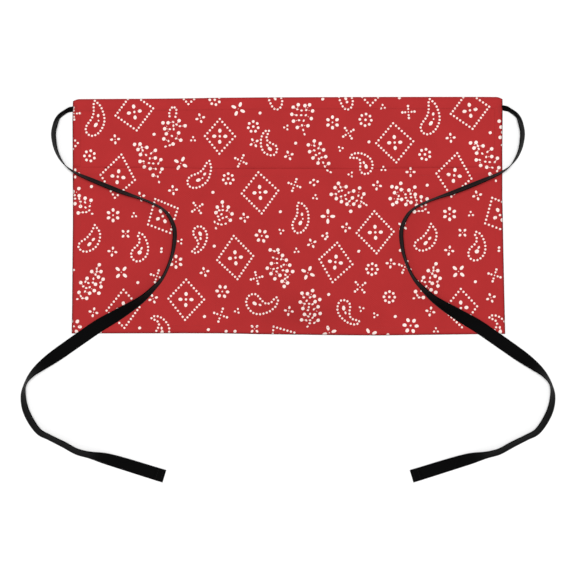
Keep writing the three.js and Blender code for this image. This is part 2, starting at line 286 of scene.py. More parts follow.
# Cloth outline, hems and heights, shared by the cloths and by the ties that lie on them
apronCloth = {
    "sides": [  # height, left and right edge
        (-141.5, -255.3, 256.3), (-110, -254.7, 255.6), (-46, -254.2, 254.2), (-11, -253.8, 253.6),
        (22, -253.8, 252.9), (75, -254.1, 252.9), (112, -254.3, 253.2), (140.2, -253.6, 253.1),
    ],
    "edges": [  # place along the waist, lower and upper edge
        (-256, -139, 137.4), (-172, -138.9, 137.9), (-127, -138.8, 138.3), (-80, -138.9, 139.1),
        (-33, -139.9, 139.5), (60, -141.1, 139.9), (110, -141.4, 140), (160, -140.7, 140.1),
        (225, -139.9, 140.1), (256, -139.6, 139.9),
    ],
    "cornerRun": 8,  # the upper corners are rounded over this run
    "cornerDrop": 2.6,
    "thick": 0.8,
    "hem": 10,
    "waistHem": 14.5,
    "hemRise": 0.9,
    "hemStep": 1.2,
    "fold": 1.6,  # run over which a folded edge rounds off
    "seam": 9,  # the hem's stitches lie this far from the edge
    "waistSeam": 13.5,
    "groove": 0.12,  # how deep the stitches pull the cloth in
    "grooveRun": 0.8,
    "pucker": 0.14,
    "puckerRun": 12,
    "puckerSway": (1.7, 31),  # how much the waves' spacing varies, and over what run
    "puckerStart": (0.5, 4),  # from the edge
    "puckerEnd": (-2, 3),  # from the stitches
    "ripple": 0.22,  # how far the cloth lies uneven
    "rippleStart": 30,
    "waves": [  # run along and up, phase and share
        (41, 67, 0, 1), (23, -37, 1.3, 1), (83, 19, 0.4, 0.7), (13, 17, 2.1, 0.5),
    ],
    "grid": 4,
    "backGrid": 8,
    "gridAcross": (-241, 240),  # places between which the grid is even
    "gridBelow": (-127, 54),
    "gridAbove": (59, 118),
    "foldSteps": [0, 0.15, 0.45, 0.9, 1.6, 2.5, 4.5, 6.5],  # grid lines are close at folds and stitches
    "seamSteps": [-1, -0.5, 0, 0.5, 1.2, 3],
    "mouthSteps": [0, 0.6, 1.2],
    "backFoldSteps": [0, 0.2, 0.9, 5],
    "backHemSteps": [-0.1, 0.1],
    "paintedFoldShade": -1,  # painted shade: a folded edge is painted darker over this run, where it turns down away from the light
    "paintedFoldShadeRun": 0.9,
    "waistFoldShade": 0.35,  # the waist's fold gets this share of the painted fold shade
    "paintedHemLight": 0.03,  # painted light: the waist hem band is painted a little lighter, where the raised hem takes more light
    "paintedHemLightRun": (6, 15),
    "patches": [  # middle, reach along and up, tone: painted shade and light, soft darker and lighter places where the cloth lies unevenly to the light
        ((18, -118), (62, 20), -0.14), ((0, -60), (105, 62), -0.035), ((-232, 52), (52, 58), 0.05),
        ((215, 58), (55, 52), 0.045),
    ],
    "cut": (0.530, 0.306),  # m, with what the hems take up
}
pocketCloth = {
    "mouth": [  # place along the waist, height of the open edge, which sags a little
        (-256, 57.2), (-216, 56.9), (-157, 56.4), (-74, 55.3), (85, 55.3), (197, 56.6), (256, 58.2),
    ],
    "paintedMouthHighlight": 0.06,  # painted highlight: the mouth's fold is painted lighter over this run, where it catches the light
    "paintedMouthHighlightRun": 2,
    "dividers": (-85, 85),
    "seamHalf": 1.5,
    "thick": 0.55,
    "seat": 0.12,
    "hemRise": 0.35,  # its hems are ironed flatter than the waist hem
    "hemStep": 3,
    "gape": 3.4,  # the compartments stand open this far
    "sideRun": 46,
    "bottomRun": 70,
    "slack": 2,  # it ripples this much more than the body cloth, away from its seams
    "slackRun": (8, 40),
    "backGrid": 6,
    "gridUp": (-127, 43),
    "dividerSteps": [-1.5, -0.8, 0, 0.8, 1.5],
    "dividerClear": 2.4,
    "cut": (0.530, 0.218),
}


def edgeOf(rows, column):  # an edge of the outline, to read at a place along it
    return lambda place: readAt(rows, place, column)


leftEdge, rightEdge = edgeOf(apronCloth["sides"], 1), edgeOf(apronCloth["sides"], 2)
bottomEdge, mouthEdge = edgeOf(apronCloth["edges"], 1), edgeOf(pocketCloth["mouth"], 1)


def topEdge(x):
    straight = readAt(apronCloth["edges"], x, 2)
    side = x - leftEdge(straight) if x < 0 else rightEdge(straight) - x
    past = min(max(1 - side / apronCloth["cornerRun"], 0), 1)
    return straight - apronCloth["cornerDrop"] * past * past


def sideInset(x, y):
    return min(x - leftEdge(y), rightEdge(y) - x)


def insets(upper, x, y):  # from the upper edge, the nearer side and the lower edge
    return upper(x) - y, sideInset(x, y), y - bottomEdge(x)


def onHem(inset, hem=apronCloth["hem"], step=apronCloth["hemStep"]):  # 1 on the hem, 0 inside it
    return 1 - ease(inset, hem - step, hem)


def rounded(low, high, inset, way):  # a cloth's front, way 1, and back, way -1, meet at a folded edge
    past = min(max(1 - inset / apronCloth["fold"], 0), 1)
    return (low + high) / 2 + way * (high - low) / 2 * math.sqrt(1 - past * past)


def grooveAt(distance):  # the dip along a row of stitches
    return apronCloth["groove"] * math.exp(-(distance / apronCloth["grooveRun"]) ** 2)


def puckerAt(along, inset, seam=apronCloth["seam"]):  # small waves that stitches pull into a hem
    first, last = apronCloth["puckerEnd"]
    band = ease(inset, *apronCloth["puckerStart"]) * (1 - ease(inset, seam + first, seam + last))
    run = 2 * math.pi / apronCloth["puckerRun"]
    sway, swayRun = apronCloth["puckerSway"]
    return apronCloth["pucker"] * band * math.sin(run * along + sway * math.sin(along / swayRun))


def rippleAt(x, y):  # soft unevenness of cloth that lies loose
    waves = apronCloth["waves"]
    height = sum(share * math.sin(x / along + y / up + phase) for along, up, phase, share in waves)
    return apronCloth["ripple"] * (1 + height / sum(share for *_, share in waves))


# painted shade along a folded edge, fading inward
def paintedFoldShade(inset):
    return apronCloth["paintedFoldShade"] * math.exp(-inset / apronCloth["paintedFoldShadeRun"])


# painted shade and light in soft patches where the cloth lies uneven
def paintedPatchShade(x, y):
    return sum(paintedShading * math.exp(-((x - spot[0]) / reach[0]) ** 2 - ((y - spot[1]) / reach[1]) ** 2)
               for spot, reach, paintedShading in apronCloth["patches"])


def bodyHigh(x, y):  # front of the body cloth before its edges are rounded
    top, side, _ = insets(topEdge, x, y)
    above = ease(y - mouthEdge(x), 0, apronCloth["hemStep"])
    waist = onHem(top, apronCloth["waistHem"])
    height = apronCloth["thick"] + apronCloth["hemRise"] * max(waist, above * onHem(side))
    height -= grooveAt(top - apronCloth["waistSeam"])
    height -= above * (1 - waist) * grooveAt(side - apronCloth["seam"]) / 2
    height += puckerAt(x, top, apronCloth["waistSeam"]) + above * puckerAt(y, side)
    return height + rippleAt(x, y) * ease(min(top, side), 0, apronCloth["rippleStart"])


def bodyFace(x, y, way=1):
    return rounded(0, bodyHigh(x, y), min(insets(topEdge, x, y)), way)


# painted shade and light of the body cloth: its folds, waist hem and patches
def bodyPaintedShading(x, y):
    top, side, bottom = insets(topEdge, x, y)
    fold = min(paintedFoldShade(min(side, bottom)), apronCloth["waistFoldShade"] * paintedFoldShade(top))
    return fold + apronCloth["paintedHemLight"] * (1 - ease(top, *apronCloth["paintedHemLightRun"])) + paintedPatchShade(x, y)


def gapeAt(x, y):
    toSeam = sideInset(x, y) - apronCloth["hem"]
    for divider in pocketCloth["dividers"]:
        toSeam = min(toSeam, abs(x - divider) - pocketCloth["seamHalf"])
    across = ease(toSeam, 0, pocketCloth["sideRun"])
    up = ease(y - bottomEdge(x) - apronCloth["hem"], 0, pocketCloth["bottomRun"])
    return pocketCloth["gape"] * across * up


def pocketLow(x, y):  # back of the pocket cloth before its edges are rounded
    free = ease(min(sideInset(x, y), y - bottomEdge(x)), *pocketCloth["slackRun"])
    slack = pocketCloth["slack"] * free * rippleAt(x, y)
    return apronCloth["thick"] + pocketCloth["seat"] + gapeAt(x, y) + slack


def pocketHigh(x, y):
    mouth, side, bottom = insets(mouthEdge, x, y)
    hem = max(onHem(inset, step=pocketCloth["hemStep"]) for inset in (mouth, side, bottom))
    height = pocketLow(x, y) + pocketCloth["thick"] + pocketCloth["hemRise"] * hem
    for inset, along in ((mouth, x), (side, y), (bottom, x)):
        height += puckerAt(along, inset)
        height -= grooveAt(inset - apronCloth["seam"]) / 2
    for divider in pocketCloth["dividers"]:
        height -= grooveAt(x - divider) / 2
    return height


def pocketFace(x, y, way=1):
    return rounded(pocketLow(x, y), pocketHigh(x, y), min(insets(mouthEdge, x, y)), way)


# painted shade and light of the pocket cloth: its folds, mouth and patches
def pocketPaintedShading(x, y):
    mouth, side, bottom = insets(mouthEdge, x, y)
    lit = pocketCloth["paintedMouthHighlight"] * math.exp(-mouth / pocketCloth["paintedMouthHighlightRun"])
    return paintedFoldShade(min(side, bottom)) + lit + paintedPatchShade(x, y)


# Ties: one ribbon each side, the right one the mirror image of the left one
ribbonTie = {
    "width": 15.5,
    "thick": 0.7,
    "cup": 0.25,  # the ribbon's middle stands this far off a flat face
    "rim": 0.99,  # share of the width where its rims are rounded off
    "step": 1.5,
    "across": 8,
    "routeSteps": 40,  # fine steps from one row of the route to the next
    "gap": 0.15,
    "rootFold": [  # mm of run, and degrees that each half is folded
        (8, 88.5), (14, 48), (22, 31), (32, 10), (38, 0),
    ],
    "rootGather": [(9, 0.82), (15, 0.85), (25, 1)],  # mm of run, and share of the width that the hem leaves
    "rootRise": {-1: -0.6, 1: 0.7},  # mm that the left and the right root lie off the mirrored route
    "rootRiseRun": (28, 55),
    "hemRun": 8,  # mm of the ribbon that the hem hides
    "easePasses": 180,
    "endFold": 12,  # mm turned back and stitched down at the free end
    "endFoldFace": -1.4,  # its outer face, in thicknesses from the ribbon's middle
    "endStitches": (2.5, 9.5),  # mm from the end
    "endStitchRow": (0.9, 9),  # share of the half width, and guide points to each side
    "route": [  # x, y and the roll about the run: 0 and 180 lie flat, 90 and 270 stand on edge
        (-246.4, 127, 90), (-254.4, 126.2, 90), (-260, 124.3, 88), (-266.6, 119.2, 73.5),
        (-272.3, 111.7, 66.5), (-276.1, 99.2, 66.5), (-275.4, 86.9, 69), (-272.6, 75.6, 74.5),
        (-267.2, 65.1, 81.5), (-259.6, 56.6, 92), (-248.4, 49.4, 100), (-231.3, 41.9, 106.5),
        (-212.1, 34, 109), (-192.2, 26.3, 106.5), (-174, 20.1, 99.5), (-159.7, 14.3, 98.5),
        (-147.9, 7.8, 98.5), (-140.2, -0.4, 102.5), (-133.7, -15.8, 105), (-134, -33.9, 104.5),
        (-137.8, -51.2, 100), (-147.5, -73, 101), (-158.7, -86.1, 109.5), (-172.5, -98.9, 121.5),
        (-199.9, -116.4, 149.5), (-223.5, -130.2, 171), (-243, -143.5, 183), (-266.7, -160.1, 190),
        (-289.7, -176.5, 222), (-301.5, -186.7, 244), (-309.4, -198.2, 257), (-311.9, -212.8, 244.5),
        (-308, -232, 237), (-293.6, -254.6, 239), (-281.5, -261.3, 242.5), (-264.4, -269.9, 240.5),
        (-248.7, -278.3, 240), (-233.1, -282.4, 236.5), (-212.2, -287.3, 208), (-158.4, -303.7, 185),
        (-145.8, -307.5, 183),
    ],
}
acrossRibbon = [2 * i / ribbonTie["across"] - 1 for i in range(ribbonTie["across"] + 1)]


def alongRoute(rows, place):  # centripetal Catmull-Rom through the rows, read at a row and its part
    first = min(int(place), len(rows) - 2)
    share = place - first
    p1, p2 = Vector(rows[first]), Vector(rows[first + 1])
    p0 = Vector(rows[first - 1]) if first else 2 * p1 - p2
    p3 = Vector(rows[first + 2]) if first + 2 < len(rows) else 2 * p2 - p1
    d0, d1, d2 = (math.sqrt((b - a).xy.length) for a, b in ((p0, p1), (p1, p2), (p2, p3)))
    t1 = ((p1 - p0) / d0 - (p2 - p0) / (d0 + d1) + (p2 - p1) / d1) * d1
    t2 = ((p2 - p1) / d1 - (p3 - p1) / (d1 + d2) + (p3 - p2) / d2) * d1
    bend = -3 * p1 + 3 * p2 - 2 * t1 - t2
    return p1 + share * (t1 + share * (bend + share * (2 * p1 - 2 * p2 + t1 + t2)))


def restUnder(x, y):  # top of whatever a tie lies on
    inside = leftEdge(y) < x < rightEdge(y) and bottomEdge(x) < y < topEdge(x)
    if not inside:
        return -studio["floorDrop"]
    return pocketFace(x, y) if y < mouthEdge(x) else bodyFace(x, y)


def ribbonSections():  # even steps along the left tie
    rows, fineness = ribbonTie["route"], ribbonTie["routeSteps"]
    fine = [alongRoute(rows, i / fineness) for i in range((len(rows) - 1) * fineness + 1)]
    found = evenSteps(fine, ribbonTie["step"])
    sections = []
    for run, k, share in found:
        spot = fine[k].lerp(fine[k + 1], share)
        ahead = (fine[min(k + 2, len(fine) - 1)] - fine[max(k - 1, 0)]).xy.normalized()
        level, up = Vector((-ahead.y, ahead.x, 0)), Vector((0, 0, 1))
        roll = math.radians(spot.z)
        sections.append({
            "run": run, "left": found[-1][0] - run, "centre": Vector((spot.x, spot.y, 0)),
            "fold": math.radians(readAt(ribbonTie["rootFold"], run, 1)),
            "halfWidth": ribbonTie["width"] / 2 * readAt(ribbonTie["rootGather"], run, 1),
            "across": math.cos(roll) * level + math.sin(roll) * up,
            "through": -math.sin(roll) * level + math.cos(roll) * up,
        })
    return sections


def ribbonPoint(section, width, face):  # width -1 to 1 across the ribbon, face in mm through it
    fold, halfWidth = section["fold"], section["halfWidth"]
    flat = math.cos(fold) * width * halfWidth
    cup = ribbonTie["cup"] * (1 - width * width) * math.cos(fold)
    deep = math.sin(fold) * (abs(width) - 0.5) * halfWidth + cup
    lean = math.sin(fold) * (-1 if width < 0 else 1)
    point = section["centre"] + section["across"] * (flat - face * lean)
    return point + section["through"] * (deep + face * math.cos(fold))


def onSide(section, side, point):  # a point of the left tie, moved to the tie of that side
    rise = ribbonTie["rootRise"][side] * (1 - ease(section["run"], *ribbonTie["rootRiseRun"]))
    return -side * point.x, point.y + rise, point.z


def liftRibbon(sections):  # lowest edge of each section rests, and the run is eased over what it crosses
    hemMiddle = (apronCloth["thick"] + apronCloth["hemRise"]) / 2
    faces = (-ribbonTie["thick"] / 2, ribbonTie["thick"] / 2)
    held = [section["run"] <= ribbonTie["hemRun"] for section in sections]
    needed = []
    for section, inHem in zip(sections, held):
        if inHem:
            needed.append(hemMiddle)
            continue
        tested = [ribbonPoint(section, width, face) for width in acrossRibbon for face in faces]
        needed.append(max(restUnder(p.x, p.y) - p.z for p in tested) + ribbonTie["gap"])
    eased = needed[:]
    for _ in range(ribbonTie["easePasses"]):
        before = eased[:1] + eased[:-1]
        after = eased[1:] + eased[-1:]
        eased = [n if inHem else max(n, e / 2 + (a + b) / 4)
                 for inHem, n, e, a, b in zip(held, needed, eased, before, after)]
    for section, height in zip(sections, eased):
        section["centre"].z = height


def sweepRibbon(name, side, sections, layers):  # each layer is first and last section, lower and upper face
    points, faces, runs = [], [], []
    for first, last, low, high in layers:
        start = len(points)
        ring = [(width, low) for width in acrossRibbon] + [(-width, high) for width in acrossRibbon]
        for section in sections[first:last + 1]:
            for width, face in ring:
                narrow = width * (ribbonTie["rim"] if abs(width) == 1 else 1)
                points.append(onSide(section, side, ribbonPoint(section, narrow, face)))
                runs.append((section["run"] * mm, width * ribbonTie["width"] / 2 * mm))
        size = len(ring)
        for r in range(last - first):
            for k in range(size):
                a, b = start + r * size + k, start + r * size + (k + 1) % size
                faces.append((a, b, b + size, a + size))
        faces.append(tuple(range(start + size - 1, start - 1, -1)))
        end = start + (last - first) * size
        faces.append(tuple(range(end, end + size)))
    if side > 0:
        faces = [face[::-1] for face in faces]
    tie = meshObject(name, points, faces, [blackRibbon], [0] * len(faces))
    layer = tie.data.uv_layers.new(name="ribbonRun")
    for loop in tie.data.loops:
        layer.data[loop.index].uv = runs[loop.vertex_index]
    return tie


tieSections = ribbonSections()
liftRibbon(tieSections)
endRow = next(i for i, s in enumerate(tieSections) if s["left"] <= ribbonTie["endFold"])
lastRow = len(tieSections) - 1
thick = ribbonTie["thick"]
endFace = thick * ribbonTie["endFoldFace"]
tieLayers = [(0, lastRow, -thick / 2, thick / 2), (endRow, lastRow, endFace, -thick / 2)]
for name, side in (("tie_left", -1), ("tie_right", 1)):
    tie = sweepRibbon(name + "_ribbon", side, tieSections, tieLayers)
    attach(tie, "root")
    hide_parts(name)

# Bandana print: one repeat charted, in millimetres on the cloth from the apron's middle
bandana = {
    "repeats": [  # shift along and up, lean with the height, growth along and up: the cloth isn't quite even
        (-396.5, -1.3, 0.0095, 0, -0.009), (0, 0, 0, 0, 0), (400.2, 1.4, -0.0095, 0.017, 0.0045),
    ],
    "reach": 262,  # shapes further out than this, or past a cloth by the margin, are left out
    "margin": 4,
    "rimPoints": (10, 14),  # of a short and of a long shape
    "longShape": 2,
    "unevenRim": (0.95, 1.05),
    "dot": 1.3,  # radius of the dots that lozenges and paisleys are drawn with
    "lozengeMiddle": 1.42,
    "lozengeStep": 4.3,
    "lozengeReach": 6.5,
    "paisleyStep": 4.1,
    "crumbPlace": 0.45,  # on the way from a bud to its berry
    "lozengePetal": (2.4, 1.95),  # this and the next five are half the length and width, and the turn
    "berry": (2.12, 2.014, 0.8),
    "bud": (1.5, 1.11),
    "crumb": (0.62, 0.372),
    "bigDot": (1.9, 1.7, 0.6),
    "smallDot": (1.6, 1.4, 0.6),
    "lozenges": [  # upper, right, lower and left corner
        ((-184, 144), (-159, 126.5), (-178.5, 100.5), (-203.5, 118)),
        ((-80.5, 114), (-62.5, 93.5), (-81, 73), (-98, 94)),
        ((-196.5, 72), (-180.5, 42), (-204, 21), (-221, 48)),
        ((-35, 51), (-11.5, 29.5), (-31, 2.5), (-54.5, 26)),
        ((-156.5, 19.5), (-130, 8.5), (-139, -20.5), (-165, -10.5)),
        ((-64, -24), (-41, -47.5), (-59.5, -75), (-83.5, -52.5)),
        ((-194, -87.5), (-175.2, -107.9), (-193, -132.5), (-214, -112)),
        ((-120, -75.5), (-99, -99), (-121.5, -123), (-141, -98)),
        ((101.8, 5.1), (124.5, -19), (104.5, -44.5), (81, -20.5)),
        ((58, -32), (76, -57.5), (52.5, -78.5), (37, -51.5)),
        ((124, 109), (147.8, 87.7), (127.8, 62.8), (104, 85.5)),
        ((-109.5, 175), (-90.5, 155), (-117.5, 131.5), (-136.5, 152)),
        ((96.5, 176), (118.5, 152), (97, 130), (75, 153)),
        ((-17, -131), (7.5, -138), (4, -163), (-20, -156)),
    ],
    # An outline's points lie along the axis from bulb to tip and to its hollow side, in radii of the bulb.
    # Its seeds are the dots inside: place along the axis and to the hollow side, half length and width, turn.
    "shapes": {
        "drop": {"outline": [
            (2.85, 0.35), (2.82, 0), (2.49, -0.43), (2.1, -0.76), (1.6, -0.93), (1.1, -1), (0.5, -1),
            (0, -0.88), (-0.5, -0.6), (-0.9, -0.15), (-1, 0.3), (-0.75, 0.75), (-0.3, 1), (0.15, 1.02),
            (0.6, 0.85), (1.05, 0.55), (1.6, 0.45), (2.1, 0.47), (2.55, 0.5),
        ], "seeds": [
            (0.3, 0, 2.9, 1.9, -0.5), (0.84, -0.28, 1, 1, 0), (1.41, -0.15, 2, 1.3, 0),
        ]},
        "comma": {"outline": [
            (3.22, 0.56), (3.43, 0.14), (3.29, -0.31), (3.08, -0.72), (2.74, -1.04), (2.39, -1.32),
            (1.9, -1.56), (1.39, -1.71), (0.86, -1.81), (0.38, -1.74), (-0.04, -1.6), (-0.46, -1.25),
            (-0.74, -0.86), (-0.94, -0.44), (-0.99, 0.07), (-0.8, 0.51), (-0.46, 0.9), (0, 1.01),
            (0.4, 0.97), (0.75, 0.63), (1.07, 0.21), (1.42, -0.11), (1.81, -0.35), (2.25, -0.28), (2.67, 0),
            (2.88, 0.35),
        ], "seeds": [
            (0.2, -0.3, 2.8, 1.9, -0.6), (0.95, -0.5, 1.8, 1.2, -0.4),
        ]},
        "bent": {"outline": [
            (2.95, 0), (2.7, -0.3), (2.43, -0.58), (2.06, -0.79), (1.65, -0.94), (1.28, -1.05),
            (0.9, -1.09), (0.5, -1.08), (0.1, -0.94), (-0.29, -0.75), (-0.64, -0.48), (-0.88, -0.15),
            (-1, 0.25), (-0.92, 0.62), (-0.63, 0.92), (-0.21, 1.02), (0.2, 0.9), (0.55, 0.64), (0.89, 0.38),
            (1.26, 0.21), (1.67, 0.11), (2.07, 0.11), (2.49, 0.15),
        ], "seeds": [
            (0.24, -0.12, 2.9, 1.9, -0.63), (0.72, -0.42, 1.1, 0.95, 0), (1.28, -0.38, 2, 1.4, -0.2),
        ]},
        "plump": {"outline": [
            (2.89, 0), (2.62, -0.46), (2.37, -0.86), (2.04, -1.11), (1.69, -1.25), (1.32, -1.34),
            (0.89, -1.37), (0.45, -1.28), (0, -1.13), (-0.35, -0.83), (-0.71, -0.48), (-0.92, -0.03),
            (-0.93, 0.45), (-0.66, 0.92), (-0.22, 1.02), (0.27, 0.81), (0.62, 0.53), (0.97, 0.33),
            (1.46, 0.17), (1.91, 0.06), (2.39, 0.03),
        ], "seeds": [
            (0.27, -0.28, 2.9, 1.8, -0.4), (1.05, -0.54, 2.3, 1.4, -0.35),
        ]},
        "curled": {"outline": [
            (3.29, -0.35), (3.14, -0.75), (2.76, -1.13), (2.23, -1.38), (1.66, -1.59), (1.04, -1.69),
            (0.41, -1.65), (-0.15, -1.44), (-0.65, -0.98), (-0.96, -0.44), (-1, 0.09), (-0.71, 0.6),
            (-0.18, 0.9), (0.41, 0.84), (0.91, 0.54), (1.2, 0.15), (1.54, -0.19), (1.98, -0.41),
            (2.44, -0.38), (2.88, -0.13),
        ], "seeds": [
            (0.35, -0.4, 2.7, 2.2, -0.9), (0.95, -0.68, 1.9, 1.2, -0.6),
        ]},
        "leaning": {"outline": [
            (2.55, 0.3), (1.8, 0.01), (1.33, -0.16), (0.94, -0.43), (0.5, -0.66), (0.06, -0.77),
            (-0.43, -0.69), (-0.79, -0.49), (-1, -0.08), (-0.87, 0.32), (-0.53, 0.6), (-0.16, 0.78),
            (0.28, 0.96), (0.78, 1.07), (1.33, 1.07), (1.9, 0.95), (2.4, 0.68),
        ], "seeds": [
            (0.47, 0.17, 2.4, 1.6, 0.4),
        ]},
    },
    "paisleys": [  # bulb, tip, hollow side (1 left of the axis), shape, fullness
        ((-228, 104.5), (-227.9, 135.5), 1, "bent"), ((-108, 40.5), (-92.8, 64.6), 1, "bent"),
        ((-237.5, -35), (-227.9, -11.2), 1, "plump"), ((-178, -46.2), (-175.3, -20.5), 1, "curled"),
        ((-105.5, -19.6), (-113, -42.2), -1, "comma", 0.84), ((-41, -101), (-13.5, -96.5), 1, "comma"),
        ((91.6, 55.6), (73.5, 68.4), 1, "comma"), ((14.5, -11.5), (12.5, 15), 1, "drop"),
        ((66.7, -106.5), (84, -124.6), 1, "comma", 0.82), ((-19, 78), (-22.5, 100), -1, "comma", 0.9),
        ((-13.7, 134), (-16.4, 157), 1, "leaning"), ((69.6, 134), (66.9, 157), 1, "leaning"),
        ((-150, -139.8), (-161, -121), 1, "comma"),
    ],
    "sprigs": [  # round berries, and small buds in order down to the foot of the stem
        {"berries": [
            (-147.5, 109.5), (-141.5, 109.5), (-128.5, 112), (-121.5, 106), (-145.5, 102.5), (-143.5, 96.5),
            (-129, 97.5), (-146.5, 90.5), (-126.5, 89), (-135.5, 84.5),
        ], "buds": [
            (-135.5, 110.5), (-131.5, 107.5), (-127.5, 105.5), (-139.5, 102), (-134.8, 102),
            (-135.2, 106.2), (-137, 94), (-132, 91), (-141, 88), (-139.5, 83), (-144.5, 81.5),
        ], "loop": [
            (-136.9, 127.5), (-133.8, 127.5), (-139.1, 124.7), (-131.7, 124.7), (-140.1, 120.8),
            (-131.9, 120.7), (-139.8, 117.2), (-132.8, 116.6),
        ]},
        {"berries": [
            (-181, 84), (-174.5, 84.5), (-166.5, 80.5), (-177, 78), (-156.5, 77), (-174, 72), (-156.5, 68),
            (-150, 66), (-174.5, 64), (-169.5, 57.5), (-162.5, 55.5), (-148.5, 55), (-159, 47.5),
        ], "buds": [
            (-172.5, 80.5), (-171.5, 77), (-167.5, 71.5), (-163, 67.5), (-161.5, 73.5), (-170.5, 64),
            (-164, 62), (-159, 61.5), (-153, 61.5), (-156, 55), (-150.5, 51), (-153.5, 46), (-152, 39.5),
        ]},
        {"berries": [
            (122.5, 34), (133, 38), (125.5, 27), (128, 33), (133.5, 30.5), (142.5, 30), (149.5, 33.5),
            (150, 25), (157, 22), (164, 19.5), (120.5, 20), (123.5, 13), (128, 15.5), (134, 19), (139, 13),
            (145, 15.5), (149, 4.5), (151.6, 12.2),
        ], "buds": [
            (138.5, 25), (144.5, 25.5), (139, 21), (145, 21.5), (150, 21.5), (151.5, 18), (130.5, 23),
            (129.5, 19.5), (141, 17.5), (157, 17), (162.5, 12.5), (157.5, 11), (162, 7.5), (158.5, 5.5),
            (154.4, 5.2), (165.5, 3.5),
        ]},
        {"berries": [
            (-77.5, 16), (-83.5, 10), (-70.5, 10), (-85, 3.5), (-66, 2), (-68, -5.5),
        ], "buds": [
            (-77, 11), (-77, 6.5), (-81, 6.2), (-72, 6), (-78.5, 1.5), (-82.5, -1), (-72.5, -1.5),
            (-76.9, -2.9), (-81, -5), (-73.5, -9.5), (-78.5, -10.5), (-82.6, -9.7), (-86.5, -7.5),
            (-85, -15),
        ]},
        {"berries": [
            (-21, -40.5), (-12, -40.5), (-6.5, -47), (-2, -52.5), (2, -58.5), (5.5, -66), (-24.5, -62),
            (-20, -68.5), (-15.5, -74.5), (-19.5, -56.5), (-9.5, -70.5), (-0.5, -79.5), (-7, -77.5),
            (-4.5, -83.5), (-1.1, -65.2),
        ], "buds": [
            (-16, -42), (-11, -44), (-17.5, -49.5), (-13, -51), (-8, -51.5), (-13, -56), (-5, -58),
            (-17, -63), (-12.5, -62), (-8, -60), (-6, -64.5), (-13.5, -66), (-3, -70), (-0.5, -72.5),
            (-3.5, -74.5),
        ]},
        {"berries": [
            (-222.5, -58), (-231.5, -66), (-220.5, -66), (-237, -74), (-218, -75), (-223.5, -72.5),
            (-244.5, -79), (-227, -81), (-220.5, -84), (-246.5, -90.5), (-228.5, -88.5), (-223, -91.5),
            (-234, -91.5), (-237.5, -97.5),
        ], "buds": [
            (-225.5, -62.5), (-225.5, -66), (-227, -69.5), (-229.5, -74.5), (-230, -79), (-235.5, -79.5),
            (-239, -78), (-241.5, -83.5), (-221, -79), (-238, -85.5), (-234, -84.5), (-239.5, -89.5),
            (-244.5, -95), (-242.5, -97.5), (-248.5, -98.5),
        ]},
        {"berries": [
            (59.5, 38), (55.5, 33), (51, 25), (57, 20), (68.5, 34), (63, 16.5), (69.5, 13.5), (77.5, 29),
            (84.5, 32.5), (89.5, 25.5), (77.5, 13.5), (74, 5), (84.5, 11), (76, 20.9),
        ], "buds": [
            (62, 33.5), (63.5, 29.5), (60, 28.5), (56.5, 25.5), (62.5, 22.5), (67.5, 24), (71.5, 27),
            (68.5, 19.5), (72.5, 17), (83, 23.5), (81, 17.5), (87, 21), (86.5, 16.5), (89.5, 14.5),
            (92.5, 12.5),
        ]},
        {"berries": [
            (16.5, -91.5), (23, -92), (29, -88.5), (31, -95), (37.5, -99), (14.5, -102), (32, -101.5),
            (17.5, -109.5), (35.5, -107.5), (38, -115.5), (19.5, -116.5), (31.5, -117), (16, -123),
            (35.5, -123.5),
        ], "buds": [
            (18.5, -96.5), (26, -96.5), (22, -100.5), (19.5, -104), (25, -104), (29, -104.5), (24.5, -108),
            (23.5, -111.5), (30.5, -110.5), (26, -116), (24, -119), (29, -120.5), (26, -123.5),
            (21.5, -123.5), (25.5, -127), (31, -126.5), (23, -131),
        ]},
        {"berries": [
            (6.1, 127.8), (12.1, 130.8), (20, 129.8), (25.4, 130.6), (4.5, 119.5), (29, 123.5),
            (6.5, 111.5), (27.5, 114.5), (23.5, 106), (11, 104),
        ], "buds": [
            (11, 125.5), (16, 124), (21.5, 124.5), (10, 118.5), (15.5, 118.5), (21, 118.5), (13, 112.5),
            (18.5, 112), (16.5, 106.5), (18, 101), (19.5, 96),
        ]},
        {"berries": [
            (24, 83.5), (31, 88), (38, 85), (25.5, 75.5), (42, 77.5), (29.5, 68), (44.5, 69.5), (35.5, 62),
            (48, 61.5),
        ], "buds": [
            (31, 82.5), (36, 79.5), (31, 77), (37, 73.5), (33, 71.5), (39.5, 68.5), (36.5, 67),
            (41.5, 62.5), (43.5, 58), (46.5, 53.1), (50.3, 51.1),
        ]},
    ],
    # A motif has rings of petals, with count, reach, half length and width, and a middle dot of that radius.
    # Its places are x and y, the turn in degrees, and what the reach and the petals grow by.
    "motifs": {
        "rosettes": {"rings": [(7, 1, 1.62, 1.62)], "middle": 1.5, "places": [
            (-234, 70.5, 78, 6.1), (-86.4, 136.7, 78, 5.9), (-70.5, 43.5, 90, 6), (-41, 105, 90, 6),
        ]},
        "fullRosettes": {"rings": [(8, 1, 1.62, 1.62)], "middle": 1.5, "places": [
            (91.5, 113, 85, 6.8), (99.1, -63.2, 88, 6.4), (119.5, -96, 88, 6.3),
        ]},
        "flowers": {"rings": [(6, 6.2, 2.15, 1.75)], "middle": 1, "places": [
            (-206.2, 0.4, 90), (-132, -54.5, 90), (-31, -24, -8), (-77.5, -89.5, -5),
            (-252.5, -130.6, -5, 1.13, 1.13), (52.5, 110, 90),
        ]},
        "smallQuatrefoils": {"rings": [(4, 4.1, 1.85, 1.35)], "middle": 0.5, "places": [
            (-204, 90, 5), (-103.5, 115, 15), (-135.5, 30, 7), (-174, 22.3, 15), (-51.6, -2.5, 10),
            (-207, -42.5, -8), (68.5, -14, -9), (28, -32.7, 25), (121, -56.5, -5), (-229.5, -114, -12),
